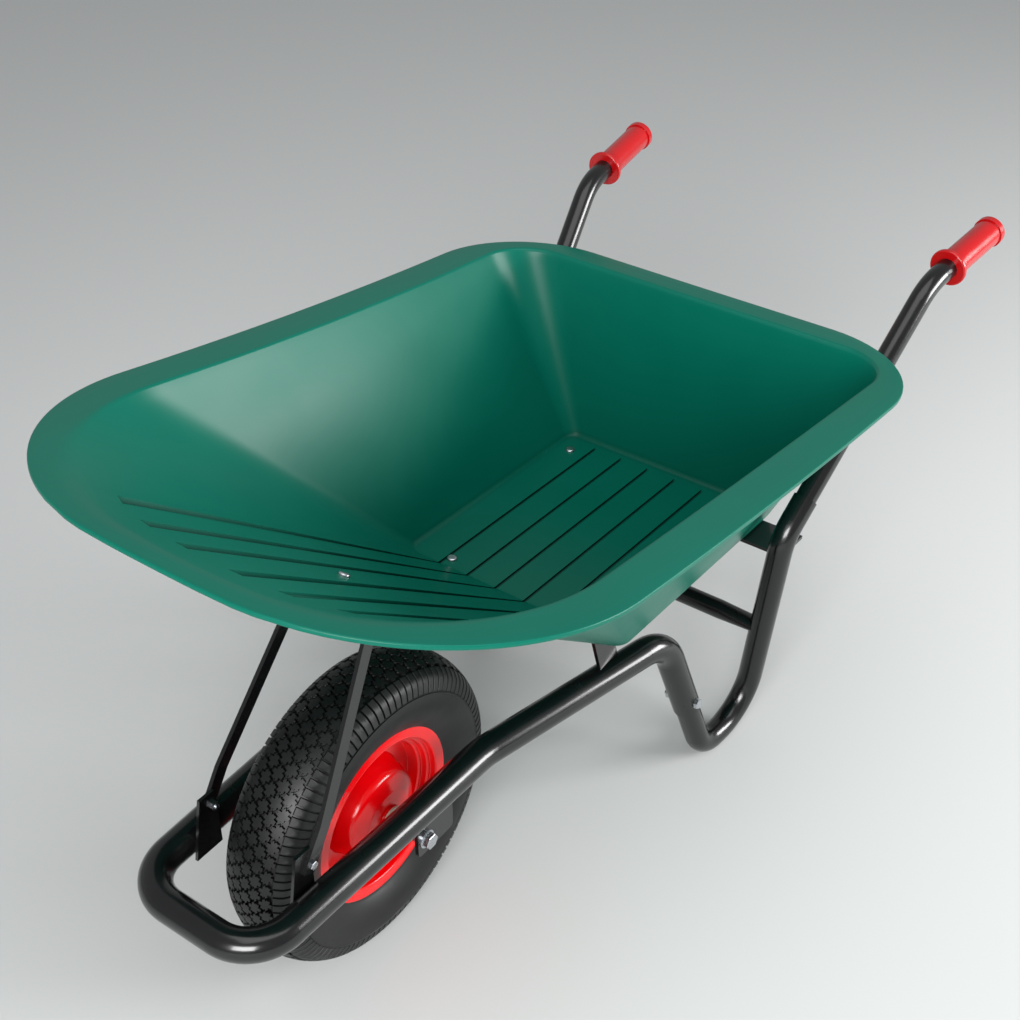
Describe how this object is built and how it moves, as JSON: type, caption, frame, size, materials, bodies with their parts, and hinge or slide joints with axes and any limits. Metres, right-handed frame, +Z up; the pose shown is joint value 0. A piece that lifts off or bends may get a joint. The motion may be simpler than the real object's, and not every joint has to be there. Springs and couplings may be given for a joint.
{
  "type": "wheelbarrow",
  "caption": "Garden wheelbarrow: deep flanged tub on a bent steel tube frame with leg loops, long handles with grips, and a pneumatic front wheel that spins on its axle.",
  "frame": {"origin": "on the ground, in the middle of the overall length and width", "axes": "+X forward along the barrow to the wheel, +Y to the left, +Z up"},
  "size_m": [1.357, 0.702, 0.723],
  "materials": {
    "green_plastic": "satin moulded",
    "black_powder_coat": "gloss powder coat",
    "red_enamel": "gloss enamel",
    "red_grip_plastic": "gloss moulded",
    "tyre_rubber": "matt moulded",
    "tube_rubber": "matt",
    "zinc_plated_steel": "bright zinc plate",
    "bush_nylon": "matt",
    "cap_plastic": "matt"
  },
  "bodies": {
    "frame": {"axle_bolt": "zinc_plated_steel", "axle_nut": "zinc_plated_steel", "axle_spacers": "zinc_plated_steel", "axle_washers": "zinc_plated_steel", "brace_bolts": "zinc_plated_steel", "brace_nuts": "zinc_plated_steel", "front_brace": "black_powder_coat", "front_frame_tube": "black_powder_coat", "front_tub_bearer": "black_powder_coat", "left_axle_bracket": "black_powder_coat", "left_brace_bracket": "black_powder_coat", "left_grip": "red_grip_plastic", "left_handle_tube": "black_powder_coat", "left_leg_tube": "black_powder_coat", "leg_joint_bolts": "zinc_plated_steel", "leg_joint_nuts": "zinc_plated_steel", "rear_cross_tube": "black_powder_coat", "rear_tub_bearer": "black_powder_coat", "right_axle_bracket": "black_powder_coat", "right_brace_bracket": "black_powder_coat", "right_grip": "red_grip_plastic", "right_handle_tube": "black_powder_coat", "right_leg_tube": "black_powder_coat", "tub": "green_plastic", "tub_bolts": "zinc_plated_steel", "tub_nuts": "zinc_plated_steel", "tub_washers": "zinc_plated_steel"},
    "wheel": {"tyre": "tyre_rubber", "inner_tube": "tube_rubber", "left_rim_half": "red_enamel", "right_rim_half": "red_enamel", "hub_tube": "red_enamel", "left_bush": "bush_nylon", "right_bush": "bush_nylon", "valve_stem": "zinc_plated_steel", "valve_cap": "cap_plastic"}
  },
  "joints": [
    {"name": "wheel_spin", "type": "hinge", "parent": "frame", "child": "wheel", "pos_m": [0.38605, 0, 0.2], "axis": [0, 1, 0], "continuous": true}
  ]
}
